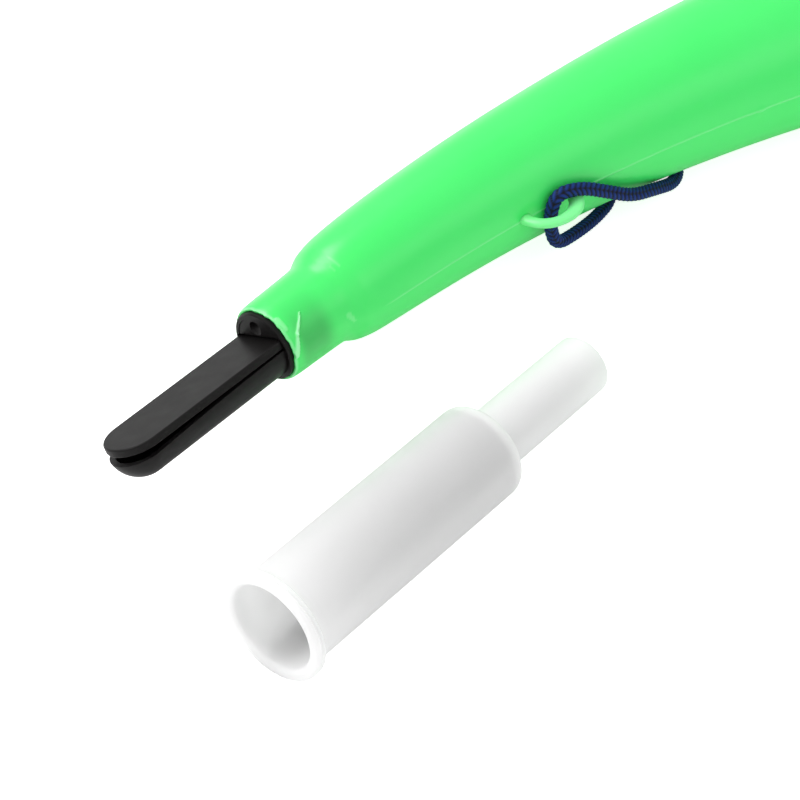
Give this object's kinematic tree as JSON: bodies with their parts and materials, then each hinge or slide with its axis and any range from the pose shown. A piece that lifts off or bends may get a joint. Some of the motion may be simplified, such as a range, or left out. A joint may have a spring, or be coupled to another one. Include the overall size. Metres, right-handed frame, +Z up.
{
  "type": "reed blow horn",
  "caption": "Curved hollow plastic blow horn with a push-in reed, a loose sleeve mouthpiece and a braided lanyard, lying on a table.",
  "frame": {"origin": "centre of the object's footprint on the table it lies on, without its lanyard", "axes": "+X along the object from the reed and mouthpiece to the bell, +Z up, +Y away from the hollow side of the bend"},
  "size_m": [0.3667, 0.1507, 0.0756],
  "materials": {
    "green_polyethylene": "blow moulded, glossy, slightly translucent",
    "black_polystyrene": "satin moulded",
    "white_polyethylene": "semi-gloss, slightly translucent",
    "navy_cord": "braided polyester",
    "tie_rubber": "matt"
  },
  "bodies": {
    "horn": {"horn_shell": "green_polyethylene", "lanyard_run": "navy_cord", "lanyard_hank": "navy_cord", "hank_tie": "tie_rubber", "lanyard_knot": "navy_cord"},
    "reed": {"reed_trough": "black_polystyrene", "reed_wedge": "black_polystyrene"},
    "tongue": {"reed_tongue": "black_polystyrene"},
    "mouthpiece": {"mouthpiece": "white_polyethylene"}
  },
  "joints": [
    {"name": "reed_pull", "type": "slide", "parent": "horn", "child": "reed", "axis": [-0.9585, -0.2839, -0.0267], "range_m": [0, 0.03]},
    {"name": "tongue_flex", "type": "hinge", "parent": "reed", "child": "tongue", "pos_m": [-0.1338, 0.02381, 0.01824], "axis": [0.2428, -0.8615, 0.446], "range_deg": [-2, 1.4], "stiffness_Nm_per_rad": 0.05},
    {"name": "mouthpiece_lift", "type": "slide", "parent": "horn", "child": "mouthpiece", "axis": [0, 0, 1], "range_m": [0, 0.06]}
  ]
}
